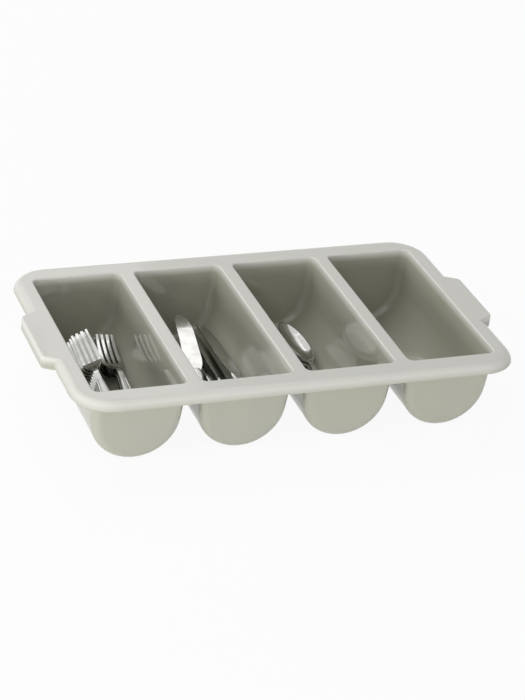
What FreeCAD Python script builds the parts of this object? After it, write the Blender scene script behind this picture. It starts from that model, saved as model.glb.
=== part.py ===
"""Four-bay cutlery dispenser: a one-piece moulded tray with loose forks, knives and spoons.

Millimetres. X runs along the row of bays, Y from the front to the back, and Z up.
The origin is on the surface that the tray stands on, below the middle of its rim.
"""
import FreeCAD, Part
import math
import os

from FreeCAD import Placement, Rotation, Vector
import Sketcher

BAYS = 4

# Driving dimensions: (alias, millimetres)
SIZES = [
    # tray
    ("tray_height", 95.0),
    ("rim_length", 530.0),
    ("rim_width", 325.0),
    ("rim_depth", 9.5),
    ("rim_corner", 45.0),
    ("rim_round", 12.0),
    ("wall", 2.5),
    ("end_band", 24.0),
    ("side_band", 31.5),
    ("divider", 16.4),
    ("bay_radius", 49.5),
    ("bay_fillet", 8.0),
    ("end_lean", 4.6),
    ("mouth_round", 2.2),
    ("foot_width", 16.0),
    # grips
    ("grip_reach", 11.0),
    ("grip_base", 122.0),
    ("grip_tip", 93.0),
    ("grip_depth", 15.0),
    ("grip_corner", 7.0),
    ("grip_round", 2.5),
    # forks
    ("fork_length", 200.0),
    ("fork_width", 24.0),
    ("tine_length", 50.0),
    ("tine_gap", 2.7),
    ("tine_curve", 120.0),
    ("head_curve", 45.0),
    # knives
    ("knife_length", 222.0),
    ("blade_length", 118.0),
    ("blade_width", 20.0),
    ("blade_thick", 1.8),
    ("haft_width", 16.0),
    ("haft_thick", 5.0),
    ("heel_blend", 6.0),
    # spoons
    ("spoon_length", 205.0),
    ("bowl_length", 82.0),
    ("bowl_width", 44.0),
    ("bowl_depth", 10.0),
    ("neck_slope", 15.0),
    ("neck_blend", 8.0),
    # every fork and spoon
    ("sheet_thick", 2.0),
    ("handle_width", 19.0),
    ("neck_width", 6.4),
    ("neck_curve", 28.0),
    ("groove_radius", 1.1),
    ("groove_depth", 0.35),
    # room between loose pieces, and between them and the tray
    ("nest_gap", 0.45),
    ("rest_gap", 0.4),
]


# How steeply a fork's head dips from its neck, and a spoon's neck into its bowl
HEAD_DIP = math.radians(28)
NECK_DIP = math.radians(22)

# A knife haft's oval sections: (share of its length, share of its width, share of its thickness)
HAFT_RINGS = [
    (0, 0.62, 0.5),
    (0.03, 0.95, 0.88),
    (0.3, 1.0, 1.0),
    (0.75, 0.8, 0.95),
    (1, 0.76, 0.8),
]

# How a piece lies: (handle end from the bay's middle, handle end from the front wall,
# (yaw, pitch, roll) in degrees). For a nest of forks this is its lowest fork, and then comes
# how far each further fork is moved sideways, and swung in degrees, on the one below it.
FORK_NESTS = [
    ((-6.2, 11.0, (2.0, 0.2, -26.0)),   # six forks that lean to the left and fan out
     [(0.5, -1.0), (0.3, -1.1), (0.5, -0.8), (0.3, -1.1), (0.5, -0.9)]),
    ((11.0, 12.2, (-3.3, -0.3, 5.5)),   # five forks that lie flat beside them
     [(0.5, -0.2), (-0.5, 0.4), (0.4, -0.2), (-0.3, 0.1)]),
]
KNIVES = [
    (6.0, 9.0, (0.0, 1.0, 50.0)),
    (-7.0, 8.0, (-3.0, 0.0, 38.0)),
    (14.0, 9.0, (0.0, 0.8, 31.0)),
    (32.5, 8.0, (1.5, 0.0, 22.0)),
    (-29.0, 12.0, (-2.0, 1.0, 70.0)),
    (-38.0, 7.0, (-9.4, 3.3, -3.0)),
]
SPOONS = [
    (-7.0, 8.0, (-2.0, 1.0, 19.0)),
    (-7.5, 6.0, (-2.4, 2.6, 21.0)),
    (-7.8, 4.0, (-2.2, 4.2, 23.0)),
]


def make_sheet(doc):
    """Put the driving dimensions into a spreadsheet, each under its own alias."""
    sheet = doc.addObject("Spreadsheet::Sheet", "Sizes")
    for row, (alias, value) in enumerate(SIZES, start=1):
        sheet.set("A%d" % row, alias)
        sheet.set("B%d" % row, str(value))
        sheet.setAlias("B%d" % row, alias)
    doc.recompute()
    return sheet


# ---------------------------------------------------------------------------
# Expressions that several features share
# ---------------------------------------------------------------------------

HALF_MOUTH = "((Sizes.rim_length - 2 * Sizes.end_band - %d * Sizes.divider) / %d)" % (BAYS - 1, 2 * BAYS)
PITCH = "(2 * %s + Sizes.divider)" % HALF_MOUTH
BAY_HALF_LENGTH = "(Sizes.rim_width / 2 - Sizes.side_band)"
OUTER_RADIUS = "(Sizes.bay_radius + Sizes.wall)"
BAY_AXIS = "sqrt(%s ^ 2 - (Sizes.foot_width / 2) ^ 2)" % OUTER_RADIUS


def bay_centre(index):
    """The X of a bay's middle, as an expression."""
    return "(%g * %s)" % (index - (BAYS - 1) / 2, PITCH)


# ---------------------------------------------------------------------------
# Sketch and feature helpers
# ---------------------------------------------------------------------------

def origin_plane(body, role):
    """One of a body's own origin planes."""
    for feature in body.Origin.OriginFeatures:
        if feature.Role == role:
            return feature
    raise ValueError(role)


def new_sketch(body, name, role):
    """An empty sketch on one of the body's origin planes."""
    sketch = body.newObject("Sketcher::SketchObject", name)
    sketch.AttachmentSupport = (origin_plane(body, role), [""])
    sketch.MapMode = "FlatFace"
    return sketch


def bind_point(sketch, element, end, x, y):
    """Fix a sketch point at two expressions, measured from the sketch's origin."""
    for kind, axis, expression in (("DistanceX", -2, x), ("DistanceY", -1, y)):
        if expression == "0":
            sketch.addConstraint(Sketcher.Constraint("PointOnObject", element, end, axis))
            continue
        value = float(sketch.evalExpression(expression))
        index = sketch.addConstraint(Sketcher.Constraint(kind, -1, 1, element, end, value))
        sketch.setExpression("Constraints[%d]" % index, expression)


def draw_polygon(sketch, corners):
    """A closed polygon whose corners are pairs of expressions."""
    points = []
    for x, y in corners:
        points.append(Vector(float(sketch.evalExpression(x)), float(sketch.evalExpression(y)), 0))
    first = sketch.GeometryCount
    count = len(points)
    for i in range(count):
        sketch.addGeometry(Part.LineSegment(points[i], points[(i + 1) % count]), False)
    for i in range(count):
        following = first + (i + 1) % count
        sketch.addConstraint(Sketcher.Constraint("Coincident", first + i, 2, following, 1))
    for i, (x, y) in enumerate(corners):
        bind_point(sketch, first + i, 1, x, y)


def pad(body, sketch, name, length, symmetric=False):
    """Extrude a sketch by an expression."""
    feature = body.newObject("PartDesign::Pad", name)
    feature.Profile = sketch
    feature.SideType = "Symmetric" if symmetric else "One side"
    feature.setExpression("Length", length)
    return feature


def fillet(doc, body, name, radius, wanted):
    """Round the edges of the body's last feature that the wanted test picks."""
    doc.recompute()
    base = body.Tip
    names = []
    for i, edge in enumerate(base.Shape.Edges, start=1):
        if wanted(edge):
            names.append("Edge%d" % i)
    feature = body.newObject("PartDesign::Fillet", name)
    feature.Base = (base, names)
    feature.setExpression("Radius", radius)
    return feature


def is_upright(edge):
    """True for a straight vertical edge."""
    box = edge.BoundBox
    return box.ZLength > 1 and box.XLength < 0.01 and box.YLength < 0.01


def lies_at(edge, height):
    """True for an edge that lies in one horizontal plane."""
    box = edge.BoundBox
    return abs(box.ZMin - height) < 0.01 and abs(box.ZMax - height) < 0.01


def boolean(doc, kind, name, **inputs):
    """A Part boolean between objects of the document."""
    feature = doc.addObject(kind, name)
    for key, value in inputs.items():
        setattr(feature, key, value)
    feature.Refine = True
    return feature


# ---------------------------------------------------------------------------
# Tray
# ---------------------------------------------------------------------------

def make_rim_block(doc, name, inset, drop):
    """The rim's plan as a block with rounded corners, hung from a height below the rim's top.

    Inset draws every side inwards, and drop lowers the block's top.
    """
    body = doc.addObject("PartDesign::Body", name)
    sketch = new_sketch(body, name + "_plan", "XY_Plane")
    half_x = "(Sizes.rim_length / 2 - %s)" % inset
    half_y = "(Sizes.rim_width / 2 - %s)" % inset
    draw_polygon(sketch, [
        ("-" + half_x, "-" + half_y),
        (half_x, "-" + half_y),
        (half_x, half_y),
        ("-" + half_x, half_y),
    ])
    height = "(Sizes.rim_round + Sizes.wall)"
    pad(body, sketch, name + "_pad", height)
    body.setExpression("Placement.Base.z", "Sizes.tray_height - %s - %s" % (height, drop))
    fillet(doc, body, name + "_corners", "Sizes.rim_corner - %s" % inset, is_upright)
    doc.recompute()
    top = body.Tip.Shape.BoundBox.ZMax
    fillet(doc, body, name + "_roll", "Sizes.rim_round - %s" % inset, lambda edge: lies_at(edge, top))
    return body


def make_bay_block(doc, name, index, extra):
    """One trough: a round-bottomed prism with leaning ends, grown outwards by extra."""
    body = doc.addObject("PartDesign::Body", name)
    section = new_sketch(body, name + "_section", "XZ_Plane")
    draw_trough_section(section, extra)
    length = "2 * (%s + %s)" % (BAY_HALF_LENGTH, extra)
    pad(body, section, name + "_pad", length, symmetric=True)
    ends = new_sketch(body, name + "_ends", "YZ_Plane")
    draw_end_wedges(ends, extra)
    doc.recompute()
    cut = body.newObject("PartDesign::Pocket", name + "_lean")
    cut.Profile = ends
    cut.Type = "ThroughAll"
    cut.SideType = "Symmetric"
    doc.recompute()
    top = cut.Shape.BoundBox.ZMax
    fillet(doc, body, name + "_fillet", "Sizes.bay_fillet + %s" % extra,
           lambda edge: joins_end_wall(edge, top))
    body.setExpression("Placement.Base.x", bay_centre(index))
    return body


def draw_trough_section(sketch, extra):
    """A U section: an arc about the bay's axis with a straight side tangent to each of its ends."""
    half_top = "(%s + %s)" % (HALF_MOUTH, extra)
    radius = "(Sizes.bay_radius + %s)" % extra
    top = sketch.evalExpression("Sizes.tray_height + 0")
    a = sketch.evalExpression(half_top)
    r = sketch.evalExpression(radius)
    axis = sketch.evalExpression(BAY_AXIS)
    rise = top - axis
    lift = math.atan2(rise, a) - math.acos(r / math.hypot(a, rise))
    touch = Vector(r * math.cos(lift), axis + r * math.sin(lift), 0)
    circle = Part.Circle(Vector(0, axis, 0), Vector(0, 0, 1), r)
    arc = sketch.addGeometry(Part.ArcOfCircle(circle, math.pi - lift, 2 * math.pi + lift), False)
    right = sketch.addGeometry(Part.LineSegment(touch, Vector(a, top, 0)), False)
    lid = sketch.addGeometry(Part.LineSegment(Vector(a, top, 0), Vector(-a, top, 0)), False)
    left = sketch.addGeometry(
        Part.LineSegment(Vector(-a, top, 0), Vector(-touch.x, touch.y, 0)), False)
    sketch.addConstraint(Sketcher.Constraint("Tangent", arc, 2, right, 1))
    sketch.addConstraint(Sketcher.Constraint("Tangent", left, 2, arc, 1))
    sketch.addConstraint(Sketcher.Constraint("Coincident", right, 2, lid, 1))
    sketch.addConstraint(Sketcher.Constraint("Coincident", lid, 2, left, 1))
    bind_point(sketch, arc, 3, "0", BAY_AXIS)
    index = sketch.addConstraint(Sketcher.Constraint("Radius", arc, r))
    sketch.setExpression("Constraints[%d]" % index, radius)
    bind_point(sketch, lid, 1, half_top, "Sizes.tray_height")
    bind_point(sketch, lid, 2, "-" + half_top, "Sizes.tray_height")


def draw_end_wedges(sketch, extra):
    """What the lean of the two end walls takes off a straight-ended prism."""
    top = "Sizes.tray_height"
    below = "(0 - Sizes.wall - Sizes.tray_height / 10)"
    edge = "(%s + %s)" % (BAY_HALF_LENGTH, extra)
    beyond = "(%s + Sizes.end_lean)" % edge
    lean = "(%s - Sizes.end_lean * (Sizes.tray_height - %s) / Sizes.tray_height)" % (edge, below)
    for sign in ("", "-"):
        draw_polygon(sketch, [
            (sign + edge, top),
            (sign + beyond, top),
            (sign + beyond, below),
            (sign + lean, below),
        ])


def joins_end_wall(edge, top):
    """True for the edges between a trough's round section and its end walls."""
    box = edge.BoundBox
    flat_in_y = box.YLength < 0.15 * max(box.XLength, box.ZLength)
    return flat_in_y and not lies_at(edge, top)


def make_grip_block(doc, name, side, inset, drop):
    """A grip's plan as a block: a trapezoid that starts in the rim and ends beyond it."""
    body = doc.addObject("PartDesign::Body", name)
    sketch = new_sketch(body, name + "_plan", "XY_Plane")
    root = "(Sizes.rim_length / 2 - Sizes.rim_round - Sizes.wall - %s)" % inset
    tip = "(Sizes.rim_length / 2 + Sizes.grip_reach - %s)" % inset
    half_base = "(Sizes.grip_base / 2 - %s)" % inset
    half_tip = "(Sizes.grip_tip / 2 - %s)" % inset
    sign = "-" if side < 0 else ""
    draw_polygon(sketch, [
        (sign + root, "-" + half_base),
        (sign + tip, "-" + half_tip),
        (sign + tip, half_tip),
        (sign + root, half_base),
    ])
    pad(body, sketch, name + "_pad", "Sizes.grip_depth")
    body.setExpression("Placement.Base.z", "Sizes.tray_height - Sizes.grip_depth - %s" % drop)
    doc.recompute()
    far = side * float(body.evalExpression(tip))
    fillet(doc, body, name + "_corners", "Sizes.grip_corner - %s" % inset,
           lambda edge: is_upright(edge) and abs(edge.BoundBox.Center.x - far) < 0.01)
    return body


def round_grip_edge(doc, body, name):
    """Round the grip's top edge, away from the rim."""
    doc.recompute()
    box = body.Tip.Shape.BoundBox
    top = box.ZMax
    root = min(abs(box.XMin), abs(box.XMax))

    def wanted(edge):
        inner = abs(abs(edge.BoundBox.Center.x) - root) < 0.01
        return lies_at(edge, top) and not inner
    fillet(doc, body, name, "Sizes.grip_round", wanted)


def make_box(doc, name, low, high):
    """A box over the rim's whole plan, between two heights."""
    box = doc.addObject("Part::Box", name)
    box.setExpression("Length", "Sizes.rim_length")
    box.setExpression("Width", "Sizes.rim_width")
    box.setExpression("Height", "%s - %s" % (high, low))
    box.setExpression("Placement.Base.x", "-Sizes.rim_length / 2")
    box.setExpression("Placement.Base.y", "-Sizes.rim_width / 2")
    box.setExpression("Placement.Base.z", low)
    return box


def make_tray(doc):
    """The moulding: outer forms joined, the hollow under the rim and the four bays cut away."""
    block = make_rim_block(doc, "rim_block", "0", "0")
    skirt_trim = make_box(doc, "skirt_trim", "0 * Sizes.wall", "(Sizes.tray_height - Sizes.rim_depth)")
    rim = boolean(doc, "Part::Cut", "rim", Base=block, Tool=skirt_trim)
    under_rim = make_rim_block(doc, "under_rim", "Sizes.wall", "Sizes.wall")
    shells = []
    bays = []
    for index in range(BAYS):
        shells.append(make_bay_block(doc, "shell_%d" % (index + 1), index, "Sizes.wall"))
        bays.append(make_bay_block(doc, "bay_%d" % (index + 1), index, "0"))
    grips = []
    grip_hollows = []
    for side, word in ((-1, "left"), (1, "right")):
        grip = make_grip_block(doc, "grip_" + word, side, "0", "0")
        round_grip_edge(doc, grip, "grip_%s_edge" % word)
        grips.append(grip)
        grip_hollows.append(make_grip_block(doc, "finger_room_" + word, side, "Sizes.wall", "Sizes.wall"))
    foot_trim = make_box(doc, "foot_trim", "(-%s)" % OUTER_RADIUS, "0 * Sizes.wall")

    troughs = boolean(doc, "Part::MultiFuse", "troughs", Shapes=shells)
    undersides = boolean(doc, "Part::MultiFuse", "undersides", Shapes=[under_rim] + grip_hollows)
    hollow = boolean(doc, "Part::Cut", "rim_hollow", Base=undersides, Tool=troughs)
    outside = boolean(doc, "Part::MultiFuse", "outside", Shapes=[rim, troughs] + grips)
    room = boolean(doc, "Part::MultiFuse", "room", Shapes=bays + [foot_trim])
    skin = boolean(doc, "Part::Cut", "skin", Base=outside, Tool=hollow)
    moulding = boolean(doc, "Part::Cut", "moulding", Base=skin, Tool=room)
    doc.recompute()

    tray = doc.addObject("PartDesign::Body", "dispenser_tray")
    tray.BaseFeature = moulding
    doc.recompute()
    top = float(tray.evalExpression("Sizes.tray_height + 0"))
    mouth_x = float(tray.evalExpression("Sizes.rim_length / 2 - Sizes.end_band")) + 0.1
    mouth_y = float(tray.evalExpression(BAY_HALF_LENGTH)) + 0.1

    def is_mouth(edge):
        box = edge.BoundBox
        inside_x = box.XMax < mouth_x and box.XMin > -mouth_x
        inside_y = box.YMax < mouth_y and box.YMin > -mouth_y
        return lies_at(edge, top) and inside_x and inside_y
    fillet(doc, tray, "mouth_edges", "Sizes.mouth_round", is_mouth)
    return tray


# ---------------------------------------------------------------------------
# Cutlery: each piece is made along +Y, tip last, lying face up on Z = 0
# ---------------------------------------------------------------------------

class Sizes:
    """The sheet's values, and what follows from them, as plain numbers."""

    def __init__(self, sheet):
        for alias, _ in SIZES:
            setattr(self, alias, float(sheet.get(alias)))
        self.pitch = float(sheet.evalExpression(PITCH))
        self.bay_axis = float(sheet.evalExpression(BAY_AXIS))
        self.floor_half_length = float(sheet.evalExpression(BAY_HALF_LENGTH)) - self.end_lean


def strip_face(start, heading, steps, thick):
    """A band of one thickness in the YZ plane, along straight runs and tangent arcs.

    A step is (length,) for a run or (radius, turn) for an arc; a positive turn curves upwards.
    """
    lower = []
    upper = []
    here = Vector(0, *start)

    def across(angle):
        return Vector(0, -math.sin(angle), math.cos(angle)) * (thick / 2)

    for step in steps:
        if len(step) == 1:
            there = here + Vector(0, math.cos(heading), math.sin(heading)) * step[0]
            side = across(heading)
            lower.append(Part.LineSegment(here - side, there - side).toShape())
            upper.append(Part.LineSegment(here + side, there + side).toShape())
        else:
            radius, turn = step
            sign = 1 if turn > 0 else -1
            centre = here + Vector(0, -math.sin(heading), math.cos(heading)) * radius * sign
            spots = []
            for angle in (heading, heading + turn / 2, heading + turn):
                out = Vector(0, math.sin(angle), -math.cos(angle)) * sign
                spots.append((centre + out * radius, across(angle)))
            lower.append(Part.Arc(*[spot - side for spot, side in spots]).toShape())
            upper.append(Part.Arc(*[spot + side for spot, side in spots]).toShape())
            heading += turn
            there = spots[-1][0]
        here = there
    first = Part.LineSegment(upper[0].Vertexes[0].Point, lower[0].Vertexes[0].Point).toShape()
    last = Part.LineSegment(lower[-1].Vertexes[-1].Point, upper[-1].Vertexes[-1].Point).toShape()
    return Part.Face(Part.Wire(Part.__sortEdges__(lower + upper + [first, last])))


def outline_prism(half_width_points, end_radius, height):
    """A plan that is symmetric about Y, from a round handle end to a straight tip, made solid."""
    right = [Vector(x, y, 0) for x, y in half_width_points]
    left = [Vector(-x, y, 0) for x, y in half_width_points]
    sides = []
    for points in (right, left):
        curve = Part.BSplineCurve()
        curve.interpolate(points)
        sides.append(curve.toShape())
    butt = Part.Arc(left[0], Vector(0, right[0].y - end_radius, 0), right[0]).toShape()
    tip = Part.LineSegment(right[-1], left[-1]).toShape()
    face = Part.Face(Part.Wire(Part.__sortEdges__([butt, sides[0], tip, sides[1]])))
    face.translate(Vector(0, 0, -height))
    return face.extrude(Vector(0, 0, 2 * height))


def handle_outline(sizes, neck):
    """Half-width points from the handle's round end to its neck."""
    end = sizes.handle_width / 2
    waist = sizes.neck_width / 2
    return [
        (end, end),
        (waist + 0.5 * (end - waist), 0.5 * neck),
        (waist * 1.08, 0.87 * neck),
        (waist, neck),
    ]


def make_blank(sizes, climb, steps, points, reach):
    """Sheet of one thickness, bent in side view and cut to a plan."""
    thick = sizes.sheet_thick
    half = max(x for x, _ in points)
    lead = thick * math.tan(climb)
    steps = [(steps[0][0] + thick / math.cos(climb),)] + steps[1:]
    face = strip_face((-thick, thick / 2 - lead), climb, steps, thick)
    band = face.extrude(Vector(2 * half, 0, 0))
    band.translate(Vector(-half, 0, 0))
    return band.common(outline_prism(points, sizes.handle_width / 2, reach))


def cut_grooves(sizes, piece, climb, start, stop):
    """Two shallow grooves along the top of a handle that draw together towards the neck."""
    lift = sizes.sheet_thick + sizes.groove_radius - sizes.groove_depth
    grooves = []
    for side in (-1, 1):
        ends = []
        for share, along in ((0.36, start), (0.12, stop)):
            height = lift / math.cos(climb) + along * math.tan(climb)
            ends.append(Vector(side * share * sizes.handle_width, along, height))
        run = ends[1] - ends[0]
        grooves.append(Part.makeCylinder(sizes.groove_radius, run.Length, ends[0], run))
        grooves += [Part.makeSphere(sizes.groove_radius, end) for end in ends]
    return piece.cut(grooves)


def make_fork(sizes):
    """A four-tined fork pressed from sheet, with a grooved handle."""
    reach = sizes.fork_length
    root = reach - sizes.tine_length
    rise = math.asin(sizes.tine_length / sizes.tine_curve)
    run = root - (sizes.head_curve + sizes.neck_curve) * math.sin(HEAD_DIP)
    fall = (sizes.neck_curve + sizes.head_curve) * (1 - math.cos(HEAD_DIP))
    climb = math.asin(fall / run)
    run -= sizes.neck_curve * math.sin(climb)
    steps = [
        (run / math.cos(climb),),
        (sizes.neck_curve, -climb - HEAD_DIP),
        (sizes.head_curve, HEAD_DIP),
        (sizes.tine_curve, rise),
    ]
    half = sizes.fork_width / 2
    shoulder = 0.6 * sizes.tine_length
    neck = root - shoulder
    points = handle_outline(sizes, neck) + [
        (sizes.neck_width * 0.75, neck + 0.3 * shoulder),
        (half * 0.72, root - 0.4 * shoulder),
        (half * 0.95, root - 0.1 * shoulder),
        (half, root + 0.16 * sizes.tine_length),
        (half * 0.97, root + 0.5 * sizes.tine_length),
        (half * 0.86, reach + 0.5 * sizes.sheet_thick),
    ]
    blank = make_blank(sizes, climb, steps, points, reach)
    pitch = (sizes.fork_width * 0.93 + sizes.tine_gap) / 4
    slots = []
    for i in (-1, 0, 1):
        corner = Vector(i * pitch - sizes.tine_gap / 2, root, -reach)
        slots.append(Part.makeBox(sizes.tine_gap, reach, 2 * reach, corner))
        slots.append(Part.makeCylinder(sizes.tine_gap / 2, 2 * reach, Vector(i * pitch, root, -reach)))
    fork = cut_grooves(sizes, blank.cut(slots), climb, sizes.handle_width, 0.85 * neck)
    outer = (pitch + sizes.tine_gap / 2 + half * 0.86) / 2
    return round_tips(fork, reach, 0.08 * sizes.fork_width, (-outer, -pitch / 2, pitch / 2, outer))


def round_tips(fork, reach, depth, centres):
    """Make every tine end in a half circle about its own centre line."""
    half = max(centres) + depth
    ends = Part.makeBox(2 * half, 3 * depth, 2 * reach, Vector(-half, reach - depth, -reach))
    posts = []
    for x in centres:
        posts.append(Part.makeCylinder(depth, 2 * reach, Vector(x, reach - depth, -reach)))
    return fork.cut(ends.cut(posts))


def ellipsoid_half(long_radius, half_width, depth, sign):
    """The half of an ellipsoid on one side of its middle section across Y."""
    ball = Part.makeSphere(1)
    keep = Part.makeBox(4, 2, 4, Vector(-2, 0 if sign > 0 else -2, -2))
    half = ball.common(keep)
    scale = FreeCAD.Matrix()
    scale.scale(half_width, long_radius, depth)
    return half.transformGeometry(scale)


def egg(sizes, shrink):
    """The bowl's form: two half ellipsoids, the longer one towards the tip."""
    sink = 0.38
    widen = math.sqrt(1 - sink ** 2)
    depth = sizes.bowl_depth / (1 - sink)
    half_width = sizes.bowl_width / 2 / widen
    solids = []
    for share, sign in ((0.54, 1), (0.46, -1)):
        length = sizes.bowl_length * share / widen
        solids.append(ellipsoid_half(length - shrink, half_width - shrink, depth - shrink, sign))
    form = solids[0].fuse(solids[1])
    form.translate(Vector(0, sizes.spoon_length - 0.54 * sizes.bowl_length, depth))
    return form


def make_spoon(sizes):
    """A table spoon: a dished bowl on a neck and a flat handle."""
    reach = sizes.spoon_length
    blend = sizes.neck_blend
    bowl_back = reach - sizes.bowl_length
    neck_run = sizes.neck_curve * math.sin(NECK_DIP)
    run = bowl_back - neck_run - sizes.neck_slope * math.cos(NECK_DIP) + 0.75 * blend
    fall = sizes.bowl_depth - 0.5 * blend
    fall += sizes.neck_curve * (1 - math.cos(NECK_DIP)) + sizes.neck_slope * math.sin(NECK_DIP)
    climb = math.asin(fall / run)
    run -= sizes.neck_curve * math.sin(climb)
    steps = [
        (run / math.cos(climb),),
        (sizes.neck_curve, -climb - NECK_DIP),
        (sizes.neck_slope,),
    ]
    neck = bowl_back - 1.5 * blend
    points = handle_outline(sizes, neck) + [
        (sizes.neck_width * 0.56, neck + blend),
        (sizes.neck_width * 0.9, bowl_back + blend),
    ]
    blank = make_blank(sizes, climb, steps, points, reach)
    stem = cut_grooves(sizes, blank, climb, sizes.handle_width, 0.85 * neck)
    above = Part.makeBox(2 * reach, 2 * reach, reach, Vector(-reach, 0, sizes.bowl_depth))
    bowl = egg(sizes, 0).cut(above)
    cavity = egg(sizes, sizes.sheet_thick * 0.8)
    return bowl.fuse(stem).cut(cavity).removeSplitter()


def curve_through(points):
    """A smooth edge through points of the XY plane."""
    curve = Part.BSplineCurve()
    curve.interpolate([Vector(x, y, 0) for x, y in points])
    return curve.toShape()


def make_knife(sizes):
    """A table knife: a bevelled blade with a round tip on a solid oval haft."""
    blade = make_blade(sizes)
    knife = make_haft(sizes).fuse(blade).removeSplitter()
    knife.translate(Vector(0, 0, sizes.haft_thick / 2))
    return knife


def make_blade(sizes):
    """The blade, about Z = 0, with its thick spine towards -X and its thin edge towards +X."""
    reach = sizes.knife_length
    length = sizes.blade_length
    width = sizes.blade_width
    blend = sizes.heel_blend
    heel = reach - length
    waist = sizes.haft_width * 0.36
    spine = -0.42 * width
    edge = spine + width
    tip = (spine + 0.34 * width, reach)
    edge_side = curve_through([
        (waist, heel - blend),
        (edge * 0.86, heel + blend),
        (edge, heel + 0.35 * length),
        (edge * 0.90, reach - 0.24 * length),
        (spine + 0.72 * width, reach - 0.08 * length),
        tip,
    ])
    spine_side = curve_through([
        (-waist, heel - blend),
        (spine, heel + 1.33 * blend),
        (spine, heel + 0.5 * length),
        (spine + 0.02 * width, reach - 0.11 * length),
        (spine + 0.12 * width, reach - 0.03 * length),
        tip,
    ])
    back = Part.LineSegment(Vector(-waist, heel - blend, 0), Vector(waist, heel - blend, 0))
    plan = Part.Face(Part.Wire(Part.__sortEdges__([edge_side, spine_side, back.toShape()])))
    plan.translate(Vector(0, 0, -sizes.haft_thick))
    half = sizes.blade_thick / 2
    section = Part.makePolygon([
        Vector(spine - half, 0, -half),
        Vector(spine - half, 0, half),
        Vector(edge + half, 0, half * 0.35),
        Vector(edge + half, 0, -half * 0.35),
        Vector(spine - half, 0, -half),
    ])
    wedge = Part.Face(section).extrude(Vector(0, reach + width, 0))
    return wedge.common(plan.extrude(Vector(0, 0, 2 * sizes.haft_thick)))


def make_haft(sizes):
    """The handle, about Z = 0: oval sections joined from its end to the blade's heel."""
    heel = sizes.knife_length - sizes.blade_length
    rings = []
    for along, wide, tall in HAFT_RINGS:
        long_radius = sizes.haft_width / 2 * wide
        short_radius = sizes.haft_thick / 2 * tall
        ring = Part.Ellipse(Vector(0, 0, 0), long_radius, short_radius).toShape()
        ring.rotate(Vector(0, 0, 0), Vector(1, 0, 0), 90)
        ring.translate(Vector(0, along * heel, 0))
        rings.append(Part.Wire(ring))
    return Part.makeLoft(rings, True)


# ---------------------------------------------------------------------------
# How the cutlery lies in the bays
# ---------------------------------------------------------------------------

def turned(yaw, pitch, roll):
    """A rotation that rolls a piece about its length, lifts its tip, then swings it."""
    swing = Rotation(Vector(0, 0, 1), yaw)
    lift = Rotation(Vector(1, 0, 0), pitch)
    bank = Rotation(Vector(0, 1, 0), roll)
    return swing.multiply(lift).multiply(bank)


def surface_points(shape, spacing):
    """Points over the whole surface of a shape, no further apart than the spacing."""
    points, facets = shape.tessellate(0.3)
    for facet in facets:
        corners = [points[i] for i in facet]
        spans = [(corners[(i + 2) % 3] - corners[(i + 1) % 3]).Length for i in range(3)]
        first = spans.index(min(spans))
        apex, left, right = [corners[(first + i) % 3] for i in range(3)]
        rows = int(math.ceil(max(spans) / spacing))
        for row in range(rows + 1):
            start = apex + (left - apex) * (row / rows)
            across = (right - left) * (row / rows)
            count = int(math.ceil(across.Length / spacing)) or 1
            for i in range(count + 1):
                yield start + across * (i / count)


class Bay:
    """One bay and the pieces in it, as the height that is filled over each cell of a grid."""

    CELL = 0.8

    def __init__(self, sizes, index):
        self.sizes = sizes
        self.middle = (index - (BAYS - 1) / 2) * sizes.pitch
        self.filled = {}

    def cell(self, point):
        return int(math.floor(point.x / self.CELL)), int(math.floor(point.y / self.CELL))

    def floor(self, x, y):
        """The height of the round floor, a rest gap above the plastic."""
        sizes = self.sizes
        room = sizes.bay_radius - sizes.rest_gap
        into_fillet = sizes.bay_fillet - (sizes.floor_half_length - abs(y))
        if into_fillet > 0:
            into_fillet = min(into_fillet, sizes.bay_fillet)
            room -= sizes.bay_fillet - math.sqrt(sizes.bay_fillet ** 2 - into_fillet ** 2)
        across = min(abs(x), room)
        return sizes.bay_axis - math.sqrt(room ** 2 - across ** 2)

    def settle(self, shape, across, front, angles):
        """Lower a piece until it meets the floor or a piece below it.

        Across places its handle's end from the bay's middle, and front from the front wall.
        """
        sizes = self.sizes
        rotation = turned(*angles)
        spot = Vector(across, front - sizes.floor_half_length, 0)
        turned_shape = shape.copy()
        turned_shape.Placement = Placement(spot, rotation)
        height = -sizes.tray_height
        for point in surface_points(turned_shape, 0.7 * self.CELL):
            below = max(self.floor(point.x, point.y), self.filled.get(self.cell(point), 0))
            height = max(height, below - point.z)
        return Placement(spot + Vector(self.middle, 0, height), rotation)

    def fill(self, shape, placement):
        """Mark what a piece covers, with the room it needs round it."""
        copy = shape.copy()
        copy.Placement = Placement(placement.Base - Vector(self.middle, 0, 0), placement.Rotation)
        for point in surface_points(copy, 0.7 * self.CELL):
            i, j = self.cell(point)
            top = point.z + self.sizes.rest_gap
            for near in ((i, j), (i - 1, j), (i + 1, j), (i, j - 1), (i, j + 1)):
                if self.filled.get(near, 0) < top:
                    self.filled[near] = top


def nested(placement, rise, shift, swing):
    """The placement of a like piece on top of another, moved sideways and swung on it."""
    offset = placement.Rotation.multVec(Vector(shift, 0, rise))
    rotation = placement.Rotation.multiply(Rotation(Vector(0, 0, 1), swing))
    return Placement(placement.Base + offset, rotation)


def add_piece(doc, label, shape, placement):
    """One loose piece as an object of the document."""
    piece = doc.addObject("Part::Feature", label)
    piece.Shape = shape
    piece.Placement = placement
    return piece


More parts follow.
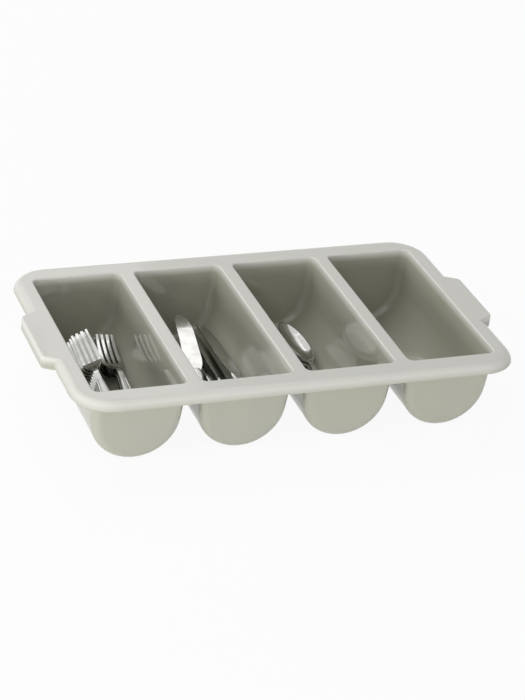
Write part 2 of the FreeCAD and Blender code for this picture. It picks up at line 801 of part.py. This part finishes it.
def lay_forks(doc, sizes):
    """A nest that leans to the left, and a flat nest beside it."""
    fork = make_fork(sizes)
    bay = Bay(sizes, 0)
    rise = (sizes.sheet_thick + sizes.nest_gap) / math.cos(HEAD_DIP)
    placements = []
    for lowest, others in FORK_NESTS:
        place = bay.settle(fork, *lowest)
        placements.append(place)
        for shift, swing in others:
            place = nested(place, rise, shift, swing)
            placements.append(place)
    pieces = []
    for i, place in enumerate(placements, start=1):
        pieces.append(add_piece(doc, "fork_%02d" % i, fork, place))
    return pieces


def lay_one_by_one(doc, sizes, index, name, shape, layout):
    """Pieces of one shape, each settled on the ones before it."""
    bay = Bay(sizes, index)
    pieces = []
    for i, (across, front, angles) in enumerate(layout, start=1):
        place = bay.settle(shape, across, front, angles)
        bay.fill(shape, place)
        pieces.append(add_piece(doc, "%s_%d" % (name, i), shape, place))
    return pieces


# ---------------------------------------------------------------------------
# Document
# ---------------------------------------------------------------------------

def check(doc, nodes):
    """Stop if any object failed or any piece is not one valid solid."""
    for item in doc.Objects:
        if "Invalid" in item.State or "Error" in item.State:
            raise RuntimeError("%s: %s" % (item.Name, item.State))
    for node in nodes:
        shape = node.Shape
        if shape.isNull() or not shape.isValid() or len(shape.Solids) != 1:
            raise RuntimeError("%s is not one valid solid" % node.Label)


def main():
    doc = FreeCAD.newDocument("cutlery_dispenser")
    sheet = make_sheet(doc)
    sizes = Sizes(sheet)
    nodes = [make_tray(doc)]
    nodes += lay_forks(doc, sizes)
    nodes += lay_one_by_one(doc, sizes, 1, "knife", make_knife(sizes), KNIVES)
    nodes += lay_one_by_one(doc, sizes, 2, "spoon", make_spoon(sizes), SPOONS)
    doc.recompute()
    check(doc, nodes)
    os.makedirs("parts", exist_ok=True)
    for node in nodes:
        node.Shape.exportStep("parts/%s.step" % node.Label)
        box = node.Shape.BoundBox
        print(node.Label, "volume %.0f" % node.Shape.Volume,
              "x %.1f..%.1f y %.1f..%.1f z %.1f..%.1f" % (
                  box.XMin, box.XMax, box.YMin, box.YMax, box.ZMin, box.ZMax))


main()
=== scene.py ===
import math

import bpy
from mathutils import Matrix, Vector

# The photograph's camera: angles in degrees, place in metres, focal length and height in pixels.
VIEW_HEIGHT = 700
FOCAL_PIXELS = 2242.23
CAMERA_AZIMUTH = -22.879
CAMERA_ELEVATION = 29.193
CAMERA_ROLL = 6.199
CAMERA_PLACE = (-0.88886, -2.12101, 1.33413)
SENSOR_WIDTH = 36.0
SIGHT_LIMIT = 60.0

# Colours are linear.
PLASTIC_COLOUR = (0.435, 0.437, 0.370)
PLASTIC_WARM = (0.455, 0.450, 0.370)
# Painted light: the rim's paler colour stands in for light through the thin rim.
RIM_PAINTED_LIGHT_COLOUR = (0.700, 0.690, 0.640)
STEEL_COLOUR = (0.64, 0.635, 0.615)
STEEL_DULL = (0.50, 0.495, 0.48)
# Painted shade: the colour steel takes where pieces lie close together.
STEEL_PAINTED_SHADE = (0.20, 0.205, 0.19)
FLOOR_COLOUR = (0.86, 0.86, 0.86)
WHITE = (1.0, 1.0, 1.0)

# Heights in metres between which the moulding is painted paler: painted light on the rim, standing
# in for light that comes through the thin rim.
RIM_PAINTED_LIGHT_FROM = 0.0845
RIM_PAINTED_LIGHT_TO = 0.0915

POLYPROPYLENE_IOR = 1.49
POLYPROPYLENE_SHINE = 0.7

# Metres: how far steel looks for neighbours near which it gets painted shade, and how round its
# edges look.
STEEL_PAINTED_SHADE_REACH = 0.035
STEEL_EDGE_RADIUS = 0.0005

# Metres: the floor's side, and how far it lies below the tray's flats.
FLOOR_SIZE = 30.0
FLOOR_DROP = 0.0005
# How much of the floor's look is the background's white; the rest of it takes the shadow.
FLOOR_WHITE_SHARE = 0.93

# The grey of the surroundings as a light. Where they are seen or mirrored, they are white.
SURROUNDING_LEVEL = 0.31

# Places, aims and sizes are metres and powers watts. A mirrored lamp shows in glossy surfaces.
TRAY_MIDDLE = (0.0, 0.0, 0.05)
KEY_PLACE = (-0.5, 1.7, 2.3)
LAMPS = [
    # name, place, aim, size, power, mirrored
    ("key", KEY_PLACE, TRAY_MIDDLE, (2.6, 1.9), 27.0, False),
    ("key_glow", KEY_PLACE, TRAY_MIDDLE, (3.4, 2.4), 14.0, True),
    ("front_fill", (-0.5, -2.6, 0.16), TRAY_MIDDLE, (3.0, 0.3), 36.0, False),
    ("left_fill", (-2.3, -0.3, 0.45), (-0.2, 0.0, 0.05), (1.2, 0.7), 19.0, False),
    ("high_fill", (-0.9, -0.8, 1.1), (-0.15, 0.0, 0.05), (0.9, 0.7), 3.2, False),
]

# The sockets that a mix node uses for colours.
COLOUR_A = 6
COLOUR_B = 7
COLOUR_RESULT = 2


class Nodes:
    """A material's or world's node tree, with short calls for adding and linking nodes."""

    def __init__(self, owner):
        owner.use_nodes = True
        self.tree = owner.node_tree
        self.tree.nodes.clear()

    def add(self, kind, **settings):
        """A new node of this kind with these settings."""
        node = self.tree.nodes.new(kind)
        for name, value in settings.items():
            setattr(node, name, value)
        return node

    def link(self, source, target):
        self.tree.links.new(source, target)

    def finish_with(self, surface, output_kind):
        """Makes surface, a shader's output, the look of the material or world."""
        self.link(surface, self.add(output_kind).inputs["Surface"])

    def noise(self, vector, scale, detail, roughness=0.55):
        """The Fac output of a noise texture over vector."""
        node = self.add("ShaderNodeTexNoise")
        node.inputs["Scale"].default_value = scale
        node.inputs["Detail"].default_value = detail
        node.inputs["Roughness"].default_value = roughness
        self.link(vector, node.inputs["Vector"])
        return node.outputs["Fac"]

    def streaks(self, vector, fineness, turn=0.0):
        """Noise over vector, drawn out by its fineness along each axis and turned about Z."""
        node = self.add("ShaderNodeMapping")
        node.inputs["Scale"].default_value = fineness
        node.inputs["Rotation"].default_value = (0.0, 0.0, turn)
        self.link(vector, node.inputs["Vector"])
        return self.noise(node.outputs["Vector"], scale=1.0, detail=2.0)

    def ramp(self, value, low, high, start=0.0, end=1.0):
        """value mapped from low..high to start..end and held at both ends."""
        node = self.add("ShaderNodeMapRange", clamp=True)
        node.inputs["From Min"].default_value = low
        node.inputs["From Max"].default_value = high
        node.inputs["To Min"].default_value = start
        node.inputs["To Max"].default_value = end
        self.link(value, node.inputs["Value"])
        return node.outputs["Result"]

    def total(self, first, second):
        """The two values added."""
        node = self.add("ShaderNodeMath", operation="ADD")
        self.link(first, node.inputs[0])
        self.link(second, node.inputs[1])
        return node.outputs["Value"]

    def blend(self, factor, first, second):
        """A colour between first, a fixed colour or an output, and second, a fixed colour."""
        node = self.add("ShaderNodeMix", data_type="RGBA")
        if isinstance(first, tuple):
            node.inputs[COLOUR_A].default_value = (*first, 1.0)
        else:
            self.link(first, node.inputs[COLOUR_A])
        node.inputs[COLOUR_B].default_value = (*second, 1.0)
        self.link(factor, node.inputs["Factor"])
        return node.outputs[COLOUR_RESULT]

    def blend_shaders(self, factor, first, second):
        """A shader between two others."""
        node = self.add("ShaderNodeMixShader")
        self.link(factor, node.inputs["Fac"])
        self.link(first, node.inputs[1])
        self.link(second, node.inputs[2])
        return node.outputs["Shader"]

    def bump(self, height, strength, distance, under=None):
        """A normal roughened by height, over another normal if there is one under it."""
        node = self.add("ShaderNodeBump")
        node.inputs["Strength"].default_value = strength
        node.inputs["Distance"].default_value = distance
        self.link(height, node.inputs["Height"])
        if under is not None:
            self.link(under, node.inputs["Normal"])
        return node.outputs["Normal"]

    def background(self, colour):
        """A world's background of one colour."""
        node = self.add("ShaderNodeBackground")
        node.inputs["Color"].default_value = (*colour, 1.0)
        return node.outputs["Background"]


def plastic():
    """Moulded polypropylene: glossy, faintly mottled, with fine orange peel and hair scratches,
    and a rim painted paler as painted light.
    """
    material = bpy.data.materials.new("tray_plastic")
    nodes = Nodes(material)
    place = nodes.add("ShaderNodeTexCoord").outputs["Object"]
    shader = nodes.add("ShaderNodeBsdfPrincipled")
    shader.inputs["IOR"].default_value = POLYPROPYLENE_IOR
    shader.inputs["Specular IOR Level"].default_value = POLYPROPYLENE_SHINE

    mottle = nodes.ramp(nodes.noise(place, scale=9.0, detail=3.0), low=0.35, high=0.65)
    wall = nodes.blend(mottle, PLASTIC_COLOUR, PLASTIC_WARM)
    height = nodes.add("ShaderNodeSeparateXYZ")
    nodes.link(place, height.inputs["Vector"])
    # Painted light: above these heights the colour turns paler, standing in for light that comes
    # through the thin rim.
    pale = nodes.ramp(height.outputs["Z"], low=RIM_PAINTED_LIGHT_FROM, high=RIM_PAINTED_LIGHT_TO)
    nodes.link(nodes.blend(pale, wall, RIM_PAINTED_LIGHT_COLOUR), shader.inputs["Base Color"])

    along = nodes.streaks(place, fineness=(260.0, 14.0, 60.0), turn=0.35)
    across = nodes.streaks(place, fineness=(22.0, 300.0, 70.0), turn=-0.3)
    scratches = nodes.total(nodes.ramp(along, low=0.64, high=0.74, end=0.5),
                            nodes.ramp(across, low=0.66, high=0.76, end=0.5))
    cloud = nodes.ramp(nodes.noise(place, scale=26.0, detail=5.0),
                       low=0.3, high=0.7, start=0.03, end=0.06)
    scratched = nodes.ramp(scratches, low=0.0, high=1.0, end=0.12)
    nodes.link(nodes.total(cloud, scratched), shader.inputs["Roughness"])

    peel = nodes.bump(nodes.noise(place, scale=900.0, detail=2.0), strength=0.03, distance=0.0004)
    waves = nodes.bump(nodes.noise(place, scale=22.0, detail=1.0),
                       strength=0.05, distance=0.002, under=peel)
    normal = nodes.bump(scratches, strength=0.05, distance=0.0004, under=waves)
    nodes.link(normal, shader.inputs["Normal"])
    nodes.finish_with(shader.outputs["BSDF"], "ShaderNodeOutputMaterial")
    return material


def steel():
    """Polished stainless steel: lines along each piece, handling marks, and painted shade where
    pieces lie close in a heap.
    """
    material = bpy.data.materials.new("cutlery_steel")
    nodes = Nodes(material)
    place = nodes.add("ShaderNodeTexCoord").outputs["Object"]
    shader = nodes.add("ShaderNodeBsdfPrincipled")
    shader.inputs["Metallic"].default_value = 1.0

    smudge = nodes.ramp(nodes.noise(place, scale=60.0, detail=4.0), low=0.45, high=0.75)
    open_steel = nodes.blend(smudge, STEEL_COLOUR, STEEL_DULL)
    # Painted shade: the steel's colour darkens where ambient occlusion finds neighbours close by.
    heap_occlusion = nodes.add("ShaderNodeAmbientOcclusion", samples=8)
    heap_occlusion.inputs["Distance"].default_value = STEEL_PAINTED_SHADE_REACH
    painted_shade_amount = nodes.ramp(heap_occlusion.outputs["AO"], low=0.15, high=0.75, start=1.0, end=0.0)
    nodes.link(nodes.blend(painted_shade_amount, open_steel, STEEL_PAINTED_SHADE), shader.inputs["Base Color"])

    lines = nodes.streaks(place, fineness=(1500.0, 22.0, 1500.0))
    polish = nodes.ramp(lines, low=0.3, high=0.7, start=0.05, end=0.10)
    marks = nodes.ramp(nodes.noise(place, scale=110.0, detail=5.0), low=0.5, high=0.8, end=0.1)
    nodes.link(nodes.total(polish, marks), shader.inputs["Roughness"])

    edge = nodes.add("ShaderNodeBevel", samples=4)
    edge.inputs["Radius"].default_value = STEEL_EDGE_RADIUS
    normal = nodes.bump(lines, strength=0.03, distance=0.0002, under=edge.outputs["Normal"])
    nodes.link(normal, shader.inputs["Normal"])
    nodes.finish_with(shader.outputs["BSDF"], "ShaderNodeOutputMaterial")
    return material


def dress(frame):
    """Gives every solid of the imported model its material."""
    tray_look = plastic()
    steel_look = steel()
    for name, piece in frame["nodes"].items():
        look = tray_look if name == "dispenser_tray" else steel_look
        piece.data.materials.clear()
        piece.data.materials.append(look)
        for face in piece.data.polygons:
            face.material_index = 0


def seen_directly(nodes):
    """1 for rays that should meet the white background: camera, mirror and see-through rays."""
    path = nodes.add("ShaderNodeLightPath")
    shown = nodes.total(path.outputs["Is Camera Ray"], path.outputs["Is Glossy Ray"])
    shown = nodes.total(shown, path.outputs["Is Transmission Ray"])
    return nodes.ramp(shown, low=0.0, high=1.0)


def light_world():
    """White where it is seen, and an even soft level for everything that it lights."""
    world = bpy.data.worlds.new("studio")
    bpy.context.scene.world = world
    nodes = Nodes(world)
    soft = nodes.background((SURROUNDING_LEVEL,) * 3)
    look = nodes.blend_shaders(seen_directly(nodes), soft, nodes.background(WHITE))
    nodes.finish_with(look, "ShaderNodeOutputWorld")


def lay_floor():
    """A wide pale floor that keeps a soft shadow and otherwise shows as white."""
    bpy.ops.mesh.primitive_plane_add(size=FLOOR_SIZE, location=(0.0, 0.0, -FLOOR_DROP))
    floor = bpy.context.object
    floor.name = "floor"
    material = bpy.data.materials.new("pale_floor")
    nodes = Nodes(material)
    matt = nodes.add("ShaderNodeBsdfDiffuse")
    matt.inputs["Color"].default_value = (*FLOOR_COLOUR, 1.0)
    white = nodes.add("ShaderNodeEmission")
    white.inputs["Strength"].default_value = 1.0
    share = nodes.ramp(seen_directly(nodes), low=0.0, high=1.0, end=FLOOR_WHITE_SHARE)
    look = nodes.blend_shaders(share, matt.outputs["BSDF"], white.outputs["Emission"])
    nodes.finish_with(look, "ShaderNodeOutputMaterial")
    floor.data.materials.append(material)


def hang_lamp(name, place, aim, size, power, mirrored):
    """A soft rectangular lamp at place that faces aim."""
    data = bpy.data.lights.new(name, "AREA")
    data.shape = "RECTANGLE"
    data.size, data.size_y = size
    data.energy = power
    lamp = bpy.data.objects.new(name, data)
    bpy.context.scene.collection.objects.link(lamp)
    lamp.location = place
    lamp.visible_glossy = mirrored
    lamp.rotation_euler = (Vector(aim) - Vector(place)).to_track_quat("-Z", "Y").to_euler()


def set_camera():
    """The photograph's camera."""
    azimuth = math.radians(CAMERA_AZIMUTH)
    elevation = math.radians(CAMERA_ELEVATION)
    roll = math.radians(CAMERA_ROLL)
    back = Vector((math.sin(azimuth) * math.cos(elevation),
                   -math.cos(azimuth) * math.cos(elevation),
                   math.sin(elevation)))
    level = Vector((math.cos(azimuth), math.sin(azimuth), 0.0))
    upright = back.cross(level)
    right = math.cos(roll) * level + math.sin(roll) * upright
    up = math.cos(roll) * upright - math.sin(roll) * level

    data = bpy.data.cameras.new("camera")
    data.sensor_width = SENSOR_WIDTH
    data.lens = FOCAL_PIXELS * SENSOR_WIDTH / VIEW_HEIGHT
    data.clip_end = SIGHT_LIMIT
    camera = bpy.data.objects.new("camera", data)
    bpy.context.scene.collection.objects.link(camera)
    turn = Matrix((right, up, back)).transposed()
    camera.matrix_world = Matrix.Translation(CAMERA_PLACE) @ turn.to_4x4()
    bpy.context.scene.camera = camera


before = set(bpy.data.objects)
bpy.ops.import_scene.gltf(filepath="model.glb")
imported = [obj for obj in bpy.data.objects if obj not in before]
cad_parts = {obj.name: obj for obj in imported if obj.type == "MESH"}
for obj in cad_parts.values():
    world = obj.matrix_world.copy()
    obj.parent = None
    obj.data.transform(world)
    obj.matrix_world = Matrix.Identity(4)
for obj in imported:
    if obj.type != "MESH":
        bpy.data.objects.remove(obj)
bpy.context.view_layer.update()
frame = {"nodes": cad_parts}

dress(frame)
light_world()
lay_floor()
for lamp in LAMPS:
    hang_lamp(*lamp)
set_camera()
bpy.context.scene.view_settings.view_transform = "Standard"
